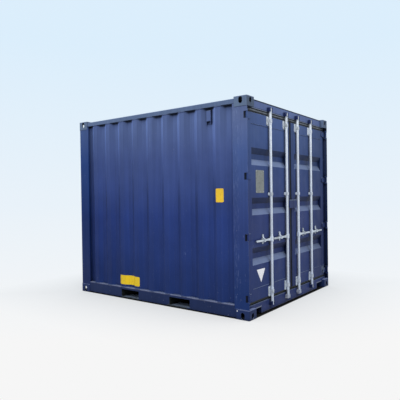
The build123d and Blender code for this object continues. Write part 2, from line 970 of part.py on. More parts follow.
def rod_guides(side):
    """Base plate with a pressed strap round the rod, at the head, middle and foot of each rod."""
    inner_half = rod_radius + guide_gap
    for x in [side * place for place in rod_places.values()]:
        for z, tall, wide in guides:
            with BuildSketch(upright(x, door_face, z)) as base:
                Rectangle(wide, tall)
                chamfer(base.vertices(), guide_corner)
            extrude(base.sketch, amount=guide_plate)
            strap = min(guide_strap_height, tall)
            outside = hat(x, inner_half + guide_strap, guide_strap_corner)
            inside = hat(x, inner_half, guide_strap_corner - guide_strap / 2)
            prism(outside, z - strap / 2, z + strap / 2)
            prism(inside, z - strap / 2, z + strap / 2, mode=Mode.SUBTRACT)


def handle_catches(side):
    """Plate with a shelf under the handle, a lip in front of it and an eye for a seal."""
    shelf_top = handle_height - handle_bar / 2 - catch_seat_gap
    shelf_low = shelf_top - catch_shelf
    plate_low = handle_height - catch_below_handle
    plate_high = handle_height + catch_above_handle
    lip_back = rod_y - handle_thickness / 2 - catch_lip_gap
    for rod_x in [side * place for place in rod_places.values()]:
        x = rod_x + side * handle_length / 2
        across = (x - catch_width / 2, x + catch_width / 2)
        with BuildSketch(upright(x, door_face, (plate_low + plate_high) / 2)) as plate:
            Rectangle(catch_width, plate_high - plate_low)
            chamfer(plate.vertices(), catch_corner)
            with Locations((0, (plate_high - plate_low) / 2 - eye_from_top)):
                Circle(eye_radius, mode=Mode.SUBTRACT)
        extrude(plate.sketch, amount=catch_plate)
        box(across, (lip_back, door_face), (shelf_low, shelf_top))
        box(across, (lip_back - catch_lip, lip_back), (shelf_low, shelf_top + catch_lip_rise))


def lock_box_half(side):
    """Half of the box that covers the padlock, open below and towards the other leaf."""
    near = side * lock_box_gap
    far = side * lock_box_reach
    front = door_face - lock_box_depth
    high = lock_box_low + lock_box_height
    outline = [(near, front), (far, front), (far, door_face), (near, door_face)]
    prism(outline, lock_box_low, high, bends=[((far, front), lock_box_bend)])
    hollow_far = far - side * lock_box_wall
    hollow_front = front + lock_box_wall
    hollow = [(near, hollow_front), (hollow_far, hollow_front), (hollow_far, door_face), (near, door_face)]
    prism(
        hollow,
        lock_box_low,
        high - lock_box_wall,
        mode=Mode.SUBTRACT,
        bends=[((hollow_far, hollow_front), lock_box_bend - lock_box_wall)],
    )


leaf_pieces = {
    "door_frame": leaf_frame,
    "door_panel": leaf_panel,
    "door_seal": leaf_seal,
    "hinge_blades": hinge_blades,
    "rod_guides": rod_guides,
    "handle_catches": handle_catches,
    "lock_box": lock_box_half,
}
leaf_sides = {"left": -1, "right": 1}

for leaf, side in leaf_sides.items():
    for piece, make in leaf_pieces.items():
        with BuildPart() as leaf_part:
            make(side)
        save(leaf_part.part, leaf + "_" + piece)


# Locking rods with the cams at both ends and the lug that carries the handle
def locking_rod(side, x):
    """A rod at one place on a leaf."""
    pivot_x = x + side * handle_pivot
    collar_face = x + side * collar_half_width
    with BuildSketch(Plane.XY.offset(rod_low)) as section:
        with Locations((x, rod_y)):
            Circle(rod_radius)
    extrude(section.sketch, amount=rod_high - rod_low)
    for low in (rod_low + cam_from_tip, rod_high - cam_from_tip - cam_height):
        with BuildSketch(Plane.XY.offset(low)) as cam:
            with Locations((x, rod_y)):
                Circle(cam_radius)
                Rectangle(2 * cam_radius, cam_across, mode=Mode.INTERSECT)
        extrude(cam.sketch, amount=cam_height)
    with BuildSketch(Plane.XY.offset(handle_height - collar_height / 2)) as collar:
        with Locations((x, rod_y)):
            Rectangle(2 * collar_half_width, 2 * collar_half_width)
        chamfer(collar.vertices(), collar_corner)
    extrude(collar.sketch, amount=collar_height)
    with BuildSketch(upright(0, rod_y + hub_lug / 2, handle_height)) as lug:
        with BuildLine():
            Polyline(
                (x, collar_height / 2),
                (collar_face, collar_height / 2),
                (pivot_x, hub_radius),
                (pivot_x, -hub_radius),
                (collar_face, -collar_height / 2),
                (x, -collar_height / 2),
                close=True,
            )
        make_face()
        with Locations((pivot_x, 0)):
            Circle(hub_radius)
            Circle(handle_pin_radius + pin_clearance, mode=Mode.SUBTRACT)
    extrude(lug.sketch, amount=hub_lug)


def rod_handle(side, x):
    """The handle of a rod: a fork with a pin through the lug, and a flat bar with a round end."""
    pivot_x = x + side * handle_pivot
    fork_end = pivot_x + side * fork_length
    tip = x + side * handle_length
    with BuildSketch(upright(0, rod_y + cheek_span / 2, handle_height)) as fork:
        with Locations((pivot_x, 0)):
            Circle(hub_radius)
        with Locations(((pivot_x + fork_end) / 2, 0)):
            Rectangle(fork_length, 2 * hub_radius)
    extrude(fork.sketch, amount=cheek_span)
    box(
        (pivot_x - side * 2 * hub_radius, pivot_x + side * (hub_radius + fork_slot_past_hub)),
        (rod_y - hub_lug / 2 - fork_gap, rod_y + hub_lug / 2 + fork_gap),
        (handle_height - 2 * hub_radius, handle_height + 2 * hub_radius),
        mode=Mode.SUBTRACT,
    )
    round_x = tip - side * handle_bar / 2
    with BuildSketch(upright(0, rod_y + handle_thickness / 2, handle_height)) as bar:
        with Locations(((fork_end + round_x) / 2, 0)):
            Rectangle(abs(round_x - fork_end), handle_bar)
        with Locations((round_x, 0)):
            Circle(handle_bar / 2)
    extrude(bar.sketch, amount=handle_thickness)
    with BuildSketch(upright(pivot_x, rod_y + cheek_span / 2, handle_height)) as pin:
        Circle(handle_pin_radius)
    extrude(pin.sketch, amount=cheek_span)


for leaf, side in leaf_sides.items():
    for place_name, place in rod_places.items():
        with BuildPart() as rod:
            locking_rod(side, side * place)
        save(rod.part, leaf + "_" + place_name + "_rod")
        with BuildPart() as handle:
            rod_handle(side, side * place)
        save(handle.part, leaf + "_" + place_name + "_handle")
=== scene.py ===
"""Looks of the shipping container: finishes, welds, fasteners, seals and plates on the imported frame."""

import math

import bpy
from mathutils import Matrix, Vector, noise


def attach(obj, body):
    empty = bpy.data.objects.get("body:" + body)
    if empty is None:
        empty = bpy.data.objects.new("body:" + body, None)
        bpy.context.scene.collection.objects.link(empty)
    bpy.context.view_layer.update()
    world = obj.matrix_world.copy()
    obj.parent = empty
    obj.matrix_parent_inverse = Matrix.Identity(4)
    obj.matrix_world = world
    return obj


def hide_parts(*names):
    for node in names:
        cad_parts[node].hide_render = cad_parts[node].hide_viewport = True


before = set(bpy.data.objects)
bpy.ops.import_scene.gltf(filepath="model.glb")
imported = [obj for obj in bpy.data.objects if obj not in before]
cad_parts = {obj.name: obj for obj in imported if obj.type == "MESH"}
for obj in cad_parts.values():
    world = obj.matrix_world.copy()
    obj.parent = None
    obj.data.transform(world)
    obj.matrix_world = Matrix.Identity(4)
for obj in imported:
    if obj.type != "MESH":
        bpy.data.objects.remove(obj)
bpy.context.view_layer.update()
scene = bpy.context.scene

# Places of the CAD model that the pieces below are set against, in metres
SIDES = {"left": -1, "right": 1}
HALF_WIDTH, HALF_LENGTH, HEIGHT = 1.219, 1.4955, 2.591
BODY = "container_frame"
DOOR_FACE = -1.4495
DOOR_PANEL_FACE = DOOR_FACE + 0.002
LEAF_INNER = {"left": 0.044, "right": 0.014}
LEAF_OUTER = 1.150
LEAF_LOW, LEAF_HIGH = 0.183, 2.425
STILE = 0.100
PANEL_LOW, PANEL_HIGH = LEAF_LOW + 0.147, LEAF_HIGH - 0.135
ROD_Y = DOOR_FACE - 0.025
ROD_X = {"outer": 0.620, "inner": 0.174}
HINGE_Z = [0.250, 0.957, 1.664, 2.371]
PIN_X, PIN_Y = 1.199, -1.4825
GUIDES = [(0.2425, 0.125, 0.120), (1.456, 0.038, 0.080), (2.3645, 0.113, 0.120)]
HANDLE_Z, HANDLE_HALF, CATCH_FROM_ROD = 0.893, 0.011, 0.190
RAIL_TOP, WALL_TOP = 0.1625, 2.5125
CASTING_LOW, CASTING_HIGH = 0.118, 2.473
POST_BACK, FRONT_POST = -1.2875, 1.3075
INNER_END, INNER_SIDE = 1.3175, 1.057
WALL_X, WALL_DEPTH = 1.211, 0.036
FRONT_WALL_Y, FRONT_DEPTH = 1.4875, 0.045
RIDGE_FLAT, RIDGE_SLOPE, RIDGE_PITCH, RIDGE_MIDDLE = 0.072, 0.068, 0.278, 0.028
RIDGES = [RIDGE_MIDDLE + (i - 4) * RIDGE_PITCH for i in range(9)]
FRONT_FLAT, FRONT_SLOPE, FRONT_PITCH, FRONT_HALF = 0.110, 0.018, 0.250, 1.047
FRONT_RIDGES = [(i - 3.5) * FRONT_PITCH for i in range(8)]
FLOOR_MIDDLE, SHEET_WIDTH, SHEETS_FROM = 0.0225, 0.600, 3.0
CROSS_MEMBERS = [side * y + FLOOR_MIDDLE for side in (-1, 1) for y in (0.170, 0.700, 0.940, 1.180)]
LOCK_BOX_NEAR, LOCK_BOX_FAR, LOCK_BOX_HIGH = 0.003, 0.112, 1.374
LOCK_BOX_FRONT = DOOR_FACE - 0.030
HOLLOW_MIDDLE, HOLLOW_HALF = (1.137, 1.4065), (0.0755, 0.0835, 0.0550)
POST_FACE, POST_SIDE, BASE_FACE, HINGE_PITCH = 1.2155, 1.2132, 1.2130, HINGE_Z[1] - HINGE_Z[0]
WALL_FOOT, WALL_HEAD = RAIL_TOP + 0.0015, WALL_TOP - 0.0015

# Weld beads, and how deep a small piece sinks into what carries it
WELD, FINE_WELD, BEAD_STEP, SUNK = 0.0045, 0.0035, 0.007, 0.001


def rgb(red, green, blue):
    """Linear colour of an sRGB colour given in 0 to 255."""
    def linear(value):
        value /= 255
        return value / 12.92 if value <= 0.04045 else ((value + 0.055) / 1.055) ** 2.4

    return (linear(red), linear(green), linear(blue), 1.0)


# Materials
class Graph:
    """Short calls that build one material's nodes."""

    def __init__(self, name):
        self.material = bpy.data.materials.new(name)
        self.material.use_nodes = True
        self.tree = self.material.node_tree
        self.tree.nodes.clear()
        self.place = self.node("TexCoord").outputs["Object"]
        self.x, self.y, self.z = self.split(self.place)

    def node(self, kind, inputs=None, **settings):
        made = self.tree.nodes.new("ShaderNode" + kind)
        for key, value in settings.items():
            setattr(made, key, value)
        for key, value in (inputs or {}).items():
            if isinstance(value, bpy.types.NodeSocket):
                self.tree.links.new(value, made.inputs[key])
            else:
                made.inputs[key].default_value = value
        return made

    def split(self, vector):
        return self.node("SeparateXYZ", {0: vector}).outputs[:]

    def math(self, operation, first, second=0.0):
        return self.node("Math", {0: first, 1: second}, operation=operation).outputs[0]

    def size(self, value):
        return self.math("ABSOLUTE", value)

    def product(self, *factors):
        result = factors[0]
        for factor in factors[1:]:
            result = self.math("MULTIPLY", result, factor)
        return result

    def span(self, value, low, high, to_low=0.0, to_high=1.0):
        """The value carried from one range to another, held at both ends."""
        inputs = {"Value": value, "From Min": low, "From Max": high, "To Min": to_low, "To Max": to_high}
        return self.node("MapRange", inputs).outputs[0]

    def band(self, value, low, high, soft=0.001):
        """1 between two values, 0 outside."""
        above = self.span(value, low - soft, low + soft)
        below = self.span(value, high + soft, high - soft)
        return self.product(above, below)

    def noise(self, scale, detail=4.0, rough=0.55, stretch=(1, 1, 1), shift=(0, 0, 0)):
        mapped = self.node("Mapping", {"Vector": self.place, "Scale": stretch, "Location": shift})
        inputs = {"Vector": mapped.outputs[0], "Scale": scale, "Detail": detail, "Roughness": rough}
        return self.node("TexNoise", inputs).outputs[0]

    def ramp(self, value, stops):
        made = self.node("ValToRGB", {0: value})
        elements = made.color_ramp.elements
        while len(elements) < len(stops):
            elements.new(0.5)
        for element, (position, colour) in zip(elements, stops):
            element.position = position
            element.color = colour
        return made.outputs[0]

    def levels(self, value, stops):
        """A factor, up to 2, that follows (value, factor) pairs."""
        reach = stops[-1][0]
        greys = [(place / reach, (factor / 2, factor / 2, factor / 2, 1.0)) for place, factor in stops]
        return self.math("MULTIPLY", self.ramp(self.math("DIVIDE", value, reach), greys), 2.0)

    def mix(self, factor, first, second):
        return self.node("Mix", {0: factor, 6: first, 7: second}, data_type="RGBA").outputs[2]

    def away(self, value, middle):
        """Distance of a value from a middle one."""
        return self.size(self.math("SUBTRACT", value, middle))

    def facing(self):
        """Parts of the surface's direction along x, y and z."""
        return self.split(self.node("NewGeometry").outputs["Normal"])

    def scaled(self, colour, factor):
        if not isinstance(colour, bpy.types.NodeSocket):
            colour = colour[:3]
        return self.node("VectorMath", {0: colour, "Scale": factor}, operation="SCALE").outputs[0]

    def patch(self, centre, half, ragged=0.0, grain=20.0, mirrored=False):
        """1 inside a block about a centre, 0 outside; its edge can be torn by noise."""
        parts = []
        for axis, middle, reach in zip((self.x, self.y, self.z), centre, half):
            if mirrored and axis is not self.z:
                axis = self.size(axis)
            parts.append(self.math("DIVIDE", self.away(axis, middle), reach))
        far = self.math("MAXIMUM", self.math("MAXIMUM", parts[0], parts[1]), parts[2])
        if ragged:
            far = self.math("ADD", far, self.span(self.noise(grain, 5.0, 0.65), 0.3, 0.7, -ragged, ragged))
        return self.span(far, 0.96, 1.04, 1.0, 0.0)

    def bump(self, *layers):
        """Layers are (height, strength, distance), from the coarsest to the finest."""
        normal = None
        for height, strength, distance in layers:
            inputs = {"Height": height, "Strength": strength, "Distance": distance}
            if normal is not None:
                inputs["Normal"] = normal
            normal = self.node("Bump", inputs).outputs[0]
        return normal

    def surface(self, colour, rough, normal, metal=0.0, specular=0.5):
        inputs = {"Base Color": colour, "Roughness": rough, "Normal": normal}
        inputs |= {"Metallic": metal, "Specular IOR Level": specular}
        shader = self.node("BsdfPrincipled", inputs)
        output = self.node("OutputMaterial")
        self.tree.links.new(shader.outputs[0], output.inputs[0])
        return self.material


# Pale chalky dust that also stands for painted light on faces that point up
CHALK_AND_TOP_LIGHT = rgb(158, 174, 202)
SCRAPED = rgb(146, 162, 204)
BLACK = rgb(12, 14, 20)
TONE_LEVELS = (0.10, 0.45, 0.75, 0.92)
STREAKS = 0.10


def paint(name, tones, chips=0.5, marks=None):
    """Weathered satin paint in four tones from foot to top, chalky with painted light where it faces up, with
    painted shade where it faces down and in corners, chipped and rusted.
    """
    g = Graph(name)
    height = g.span(g.z, 0.0, 2.6)
    base = g.ramp(height, [(level, rgb(*tone)) for level, tone in zip(TONE_LEVELS, tones)])
    mottle = g.span(g.noise(1.7, 5.0), 0.3, 0.7, 0.88, 1.12)
    rain = g.span(g.noise(1.0, 4.0, 0.6, stretch=(18, 18, 0.45)), 0.3, 0.7, 1 - STREAKS, 1 + STREAKS)
    base = g.scaled(base, g.product(mottle, rain))
    normal = g.node("NewGeometry").outputs["Normal"]
    upward = g.split(normal)[2]
    worn = g.span(g.noise(6.0, 5.0), 0.3, 0.7, 0.75, 1.0)
    # Chalky dust and painted light on faces that point up
    base = g.mix(g.product(g.span(upward, 0.15, 0.6, 0.0, 0.6), worn), base, CHALK_AND_TOP_LIGHT)
    # Painted shade on faces that point down
    base = g.scaled(base, g.span(upward, -0.5, -0.1, 0.45, 1.0))
    round_normal = g.node("Bevel", {"Radius": 0.004}, samples=4).outputs[0]
    edge = g.node("VectorMath", {0: round_normal, 1: normal}, operation="DOT_PRODUCT").outputs["Value"]
    rubbed = g.product(g.span(edge, 0.99, 0.90, 0.0, 0.6), g.span(g.noise(16.0, 5.0), 0.42, 0.62))
    base = g.mix(rubbed, base, rgb(112, 122, 150))
    # Painted shade in corners, creases and recesses, from ambient occlusion
    crevice_shade = g.node("AmbientOcclusion", {"Distance": 0.09}, samples=8).outputs["AO"]
    base = g.scaled(base, g.span(crevice_shade, 0.18, 0.8, 0.06, 1.0))
    sparse = g.span(g.noise(1.3, 3.0, shift=(3, 1, 2)), 0.45, 0.65)
    chipped = g.product(g.span(g.noise(46.0, 6.0, 0.65), 0.66, 0.69), sparse, chips)
    base = g.mix(chipped, base, rgb(150, 152, 168))
    pit = g.span(g.noise(33.0, 8.0, 0.7, shift=(5, 2, 8)), 0.68, 0.72)
    rusted = g.product(pit, g.span(g.noise(0.9, 2.0, shift=(9, 4, 1)), 0.5, 0.62, 0.0, 0.8))
    base = g.mix(rusted, base, rgb(92, 56, 38))
    if marks:
        base = marks(g, base)
    rough = g.span(g.noise(5.0, 4.0), 0.3, 0.7, 0.42, 0.58)
    dents = g.noise(2.4, 2.0, 0.4)
    peel = g.noise(420.0, 2.0)
    return g.surface(base, rough, g.bump((dents, 0.5, 0.012), (peel, 0.15, 0.0006)), specular=0.12)


def flecks(g, base, centre, half, amount, along=5.0):
    """Thin upright scratches scattered over one block."""
    scratch = g.span(g.noise(1.0, 6.0, 0.65, stretch=(140, 140, 2 * along)), 0.55, 0.66)
    return g.mix(g.product(g.patch(centre, half, 0.6, 9.0), scratch, amount), base, SCRAPED)


def wall_marks(g, base):
    """Paint darker towards the front end, painted shade beside the front post, painted light and shade on the
    slopes by height, painted shade under the top rail, a few scrapes.
    """
    outer = g.span(g.size(g.x), 1.10, 1.12)
    frontward = g.product(outer, g.span(g.y, 0.30, 1.20))
    tint = g.mix(frontward, (1.0, 1.0, 1.0, 1.0), (0.80, 0.84, 0.91, 1.0))
    base = g.node("VectorMath", {0: base, 1: tint}, operation="MULTIPLY").outputs[0]
    # Painted shade in the recess beside the front post
    base = g.scaled(base, g.span(g.product(outer, g.span(g.y, 1.195, 1.235)), 0.0, 1.0, 1.0, 0.72))
    # Painted light and shade on the corrugation's slopes, by which way they face and by height
    facing = g.facing()[1]
    for way, stops in (
        (1, [(0.6, 1.00), (1.4, 0.78), (1.9, 1.28), (2.4, 1.75)]),
        (-1, [(0.6, 1.08), (1.4, 1.05), (1.95, 0.96), (2.4, 0.80)]),
    ):
        slope = g.product(outer, g.span(facing, 0.2 * way, 0.4 * way))
        change = g.math("SUBTRACT", g.levels(g.z, stops), 1.0)
        base = g.scaled(base, g.math("ADD", 1.0, g.product(slope, change)))
    # Painted shade under the top rail
    hollow = g.product(g.span(g.size(g.x), 1.200, 1.185), g.span(g.z, 2.478, 2.500))
    base = g.scaled(base, g.span(hollow, 0.0, 1.0, 1.0, 0.2))
    base = flecks(g, base, (-1.2, 0.030, 2.180), (0.04, 0.008, 0.090), 0.8)
    return flecks(g, base, (-1.2, -0.550, 0.720), (0.04, 0.020, 0.020), 0.7, 60.0)


def post_marks(g, base):
    """Painted black shadow in the slots behind the hinges, painted shade on the right post beside the door, and
    scrapes where other containers have rubbed.
    """
    # Painted black shadow that stands for deeper slots behind the hinges
    level = g.math("PINGPONG", g.math("SUBTRACT", g.z, HINGE_Z[0]), HINGE_PITCH / 2)
    beside = g.product(g.band(g.y, -1.470, -1.447), g.span(g.size(g.x), 1.205, 1.210))
    slot = g.product(g.span(level, 0.041, 0.038), beside)
    base = g.mix(g.product(slot, 0.95), base, BLACK)
    for y, z, half_y, half_z, amount in (
        (-1.327, 2.437, 0.010, 0.050, 0.9),
        (-1.325, 1.420, 0.045, 1.050, 0.30),
        (-1.405, 2.150, 0.040, 0.200, 0.25),
        (-1.453, 0.530, 0.014, 0.080, 0.60),
        (-1.350, 0.560, 0.040, 0.160, 0.22),
    ):
        base = flecks(g, base, (-POST_FACE, y, z), (0.02, half_y, half_z), amount)
    # Painted shade on the right post beside the door
    shaded = g.product(g.span(g.x, 1.100, 1.150), g.span(g.y, -1.400, -1.430))
    return g.scaled(base, g.span(shaded, 0.0, 1.0, 1.0, 0.40))


def casting_marks(centre_z, rim, end_shade):
    """Painted black shade inside the casting's hollow, a worn upper rim with a painted highlight, a dab of
    white, and painted shade on the end faces.
    """
    def marks(g, base):
        # Painted shade on the end faces
        base = g.scaled(base, g.span(g.size(g.facing()[1]), 0.45, 0.80, 1.0, end_shade))
        patchy = g.span(g.noise(11.0, 5.0), 0.35, 0.6, 0.3, 0.9)
        # Wear and a painted highlight along the upper rim
        worn = g.product(g.span(g.z, rim - 0.008, rim - 0.002), patchy)
        base = g.mix(worn, base, rgb(122, 132, 172))
        dab = g.patch((-HALF_WIDTH, -1.331, 0.097), (0.004, 0.007, 0.007), 0.3, 80.0)
        base = g.mix(dab, base, rgb(232, 232, 236))
        # Painted black shade inside the hollow
        inside = g.patch((*HOLLOW_MIDDLE, centre_z), HOLLOW_HALF, mirrored=True)
        return g.mix(inside, base, BLACK)

    return marks


def header_marks(g, base):
    """A painted shadow line along the top, and painted shade over the drip strip."""
    patchy = g.span(g.noise(9.0, 4.0), 0.3, 0.5, 0.8, 1.0)
    # Painted shadow line along the header's top edge
    line = g.product(g.span(g.z, 2.5660, 2.5690), g.span(g.y, -1.438, -1.441), patchy)
    base = g.mix(line, base, rgb(24, 32, 52))
    return g.scaled(base, g.span(g.band(g.z, 2.4815, 2.4910), 0.0, 1.0, 1.0, 0.45))


def keeper_marks(g, base):
    """Zinc that shows where the paint of the lower inner keepers has gone."""
    patchy = g.span(g.noise(30.0, 5.0), 0.35, 0.5, 0.3, 0.9)
    bare = g.product(g.span(g.z, 0.30, 0.20), g.span(g.size(g.x), 0.45, 0.40), patchy)
    return g.mix(bare, base, rgb(176, 182, 196))


def rail_marks(g, base):
    """Dark grey-green under the forklift pockets, and a worn pale line with a painted highlight along the
    rail's top edge.
    """
    away = g.away(g.away(g.y, FLOOR_MIDDLE), 0.432)
    under = g.product(g.span(g.z, 0.034, 0.030), g.span(away, 0.170, 0.160))
    base = g.mix(g.product(under, 0.8), base, rgb(62, 68, 68))
    # Wear and a painted highlight along the rail's top edge
    line = g.product(g.span(g.z, 0.146, 0.158), g.span(g.noise(11.0, 5.0), 0.35, 0.6, 0.35, 0.9))
    return g.mix(line, base, rgb(120, 124, 150))


def sill_marks(g, base):
    """Worn edges of the sill over its recesses and along its foot, and painted black shade inside the recesses.
    """
    over = [g.patch((side * 0.955, DOOR_FACE, 0.0965), (0.105, 0.010, 0.006), 0.5, 40.0) for side in (1, -1)]
    base = g.mix(g.product(g.math("MAXIMUM", *over), 0.6), base, rgb(150, 156, 168))
    # Painted black shade inside the recesses
    base = g.mix(g.patch((0.957, 1.398, 0.050), (0.101, 0.0503, 0.039), mirrored=True), base, BLACK)
    foot = g.product(g.span(g.z, 0.024, 0.014), g.span(g.noise(14.0, 5.0), 0.4, 0.6))
    return g.mix(g.product(foot, 0.6), base, rgb(108, 104, 84))


def right_shade(g, base):
    """Darker paint towards the right leaf's hinges."""
    return g.scaled(base, g.span(g.x, 0.25, 1.05, 1.0, 0.66))


def panel_marks(g, base):
    """The right leaf's shade, and painted shade in the panel's troughs."""
    base = right_shade(g, base)
    # Painted shade in the troughs
    return g.scaled(base, g.span(g.y, DOOR_FACE + 0.026, DOOR_FACE + 0.038, 1.0, 0.82))


def leaf_marks(g, base):
    """Darker towards the centre, partly black from the seals and partly painted shade, and scuffs at the right
    leaf's lowest hinge.
    """
    # Darker towards the centre: marks from the seals and painted shade
    base = g.scaled(base, g.span(g.size(g.x), 0.040, 0.180, 0.68, 1.0))
    base = right_shade(g, base)
    scratched = g.span(g.noise(60.0, 5.0), 0.45, 0.6, 0.0, 0.5)
    scuff = g.product(g.patch((1.09, DOOR_FACE, 0.27), (0.06, 0.02, 0.06), 0.8, 30.0), scratched)
    return g.mix(scuff, base, rgb(140, 152, 160))


def zinc(name, low, high, dirt=0.5, metal=0.35, grime=rgb(96, 98, 78)):
    """Dull zinc coating with its crystals, white bloom and grime, dirtier towards the ground."""
    g = Graph(name)
    base = g.mix(g.span(g.z, 0.2, 2.3), low, high)
    cells = g.node("TexVoronoi", {"Vector": g.place, "Scale": 130.0})
    base = g.scaled(base, g.span(g.split(cells.outputs["Color"])[0], 0.0, 1.0, 0.90, 1.06))
    bloom = g.span(g.noise(14.0, 6.0, 0.6), 0.48, 0.68, 0.0, 0.5)
    base = g.mix(bloom, base, rgb(226, 230, 236))
    soiled = g.product(g.span(g.noise(9.0, 6.0, 0.65, stretch=(1, 1, 0.4)), 0.52, 0.66), dirt)
    base = g.mix(soiled, base, grime)
    rough = g.span(g.noise(22.0, 4.0), 0.3, 0.7, 0.38, 0.58)
    return g.surface(base, rough, g.bump((g.noise(150.0, 4.0), 0.25, 0.0008)), metal=metal)


def rubber(name):
    """Black rubber: faded pale with a painted highlight along its upper lip, green with road dirt along its
    lower one.
    """
    g = Graph(name)
    base = g.mix(g.span(g.noise(6.0, 5.0), 0.35, 0.65), rgb(15, 18, 24), rgb(32, 36, 44))
    # Faded pale and a painted highlight along the upper lip
    bleached_and_lit = g.product(g.span(g.z, 2.445, 2.452), g.span(g.noise(11.0, 5.0), 0.35, 0.65, 0.5, 1.0))
    base = g.mix(bleached_and_lit, base, rgb(120, 126, 134))
    patchy = g.span(g.noise(9.0, 5.0), 0.35, 0.65, 0.2, 0.9)
    soiled = g.product(g.span(g.z, LEAF_LOW + 0.02, LEAF_LOW), patchy)
    base = g.mix(soiled, base, rgb(46, 48, 40))
    base = g.scaled(base, g.span(g.noise(70.0, 3.0), 0.3, 0.7, 0.85, 1.15))
    rough = g.span(g.noise(30.0, 3.0), 0.3, 0.7, 0.62, 0.8)
    return g.surface(base, rough, g.bump((g.noise(260.0, 3.0), 0.3, 0.0006)), specular=0.3)


def plywood(name):
    """Worn hardwood plywood in sheets, its grain along the container."""
    g = Graph(name)
    grain = g.noise(7.0, 8.0, 0.65, stretch=(22, 0.9, 22))
    base = g.ramp(grain, [(0.25, rgb(70, 46, 32)), (0.5, rgb(122, 88, 62)), (0.75, rgb(158, 122, 90))])
    sheet = g.math("FLOOR", g.math("DIVIDE", g.math("ADD", g.x, SHEETS_FROM), SHEET_WIDTH))
    shade = g.math("FRACT", g.math("MULTIPLY", sheet, 0.382))
    base = g.scaled(base, g.math("ADD", 0.86, g.math("MULTIPLY", shade, 0.28)))
    worn = g.span(g.noise(1.8, 5.0), 0.42, 0.7, 0.0, 0.5)
    base = g.mix(worn, base, rgb(138, 126, 110))
    scuff = g.span(g.noise(1.0, 6.0, 0.7, stretch=(60, 4, 60)), 0.60, 0.66, 0.0, 0.7)
    base = g.mix(scuff, base, rgb(52, 40, 32))
    across = g.math("PINGPONG", g.math("ADD", g.x, SHEETS_FROM), SHEET_WIDTH / 2)
    along = g.math("PINGPONG", g.math("SUBTRACT", g.y, FLOOR_MIDDLE), 1.180)
    seam = g.math("MAXIMUM", g.span(across, 0.0022, 0.0012), g.span(along, 0.0022, 0.0012))
    base = g.mix(g.product(seam, 0.85), base, rgb(26, 20, 16))
    rough = g.span(grain, 0.3, 0.7, 0.5, 0.75)
    normal = g.bump((g.math("SUBTRACT", 1.0, seam), 0.6, 0.002), (grain, 0.35, 0.0015))
    return g.surface(base, rough, normal, specular=0.35)


def plate_finish(name, colour, worn, amount=0.35, rain=0.3, metal=0.0):
    """A thin plate or sticker that has been out in the weather."""
    g = Graph(name)
    base = g.scaled(colour, g.span(g.noise(8.0, 5.0), 0.3, 0.7, 0.94, 1.06))
    rubbed = g.product(g.span(g.noise(38.0, 7.0, 0.7), 0.54, 0.6), amount)
    base = g.mix(rubbed, base, worn)
    washed = g.span(g.noise(1.0, 5.0, 0.6, stretch=(60, 60, 2)), 0.5, 0.75, 0.0, rain)
    base = g.mix(washed, base, worn)
    rough = g.span(g.noise(20.0, 3.0), 0.3, 0.7, 0.4, 0.6)
    return g.surface(base, rough, g.bump((g.noise(180.0, 3.0), 0.2, 0.0004)), metal=metal)


SIDE = paint("paint_side", [(32, 52, 106), (43, 63, 124), (71, 88, 140), (91, 109, 156)], marks=wall_marks)
DOOR = paint("paint_door", [(38, 54, 104), (47, 61, 113), (56, 77, 127), (69, 90, 138)], marks=leaf_marks)
PANEL = paint(
    "paint_door_panel", [(38, 54, 104), (47, 61, 113), (56, 77, 127), (69, 90, 138)],
    marks=panel_marks,
)
POST = paint(
    "paint_post", [(31, 54, 108), (53, 71, 128), (73, 94, 147), (97, 112, 154)],
    chips=1.0, marks=post_marks,
)
FRONT = paint("paint_front_post", [(29, 45, 92), (20, 46, 102), (40, 68, 128), (68, 90, 142)], chips=0.8)
# Very dark: painted shade on the jamb channels in the recess beside the leaves
JAMB = paint("paint_jamb", [(22, 32, 66), (24, 34, 70), (28, 40, 76), (34, 46, 84)])
TOP = paint("paint_top", [(70, 84, 116), (80, 94, 124), (88, 104, 134), (98, 116, 150)], chips=0.8)
HEADER = paint(
    "paint_header", [(70, 84, 116), (80, 94, 124), (82, 98, 138), (88, 104, 148)],
    marks=header_marks,
)
HIGH_CASTING = paint(
    "paint_high_casting", [(60, 74, 110), (60, 74, 110), (88, 106, 136), (104, 122, 150)],
    chips=0.8, marks=casting_marks(2.532, HEIGHT, 0.50),
)
LOW_CASTING = paint(
    "paint_low_casting", [(38, 54, 98), (44, 58, 104), (44, 58, 104), (44, 58, 104)],
    chips=1.0, marks=casting_marks(0.059, CASTING_LOW, 0.75),
)
# Darker than the door paint: painted shade over the keepers
KEEPER = paint(
    "paint_keeper", [(34, 44, 84), (34, 44, 84), (36, 48, 90), (38, 50, 94)],
    chips=1.0, marks=keeper_marks,
)
LOW = paint(
    "paint_low", [(33, 47, 86), (42, 56, 100), (50, 64, 110), (60, 74, 120)],
    chips=1.0, marks=rail_marks,
)
SILL = paint(
    "paint_sill", [(42, 55, 102), (44, 56, 104), (44, 56, 104), (44, 56, 104)],
    chips=1.0, marks=sill_marks,
)
UNDER = paint("paint_under", [(44, 48, 46), (48, 52, 56), (48, 52, 56), (50, 54, 60)], chips=1.0)
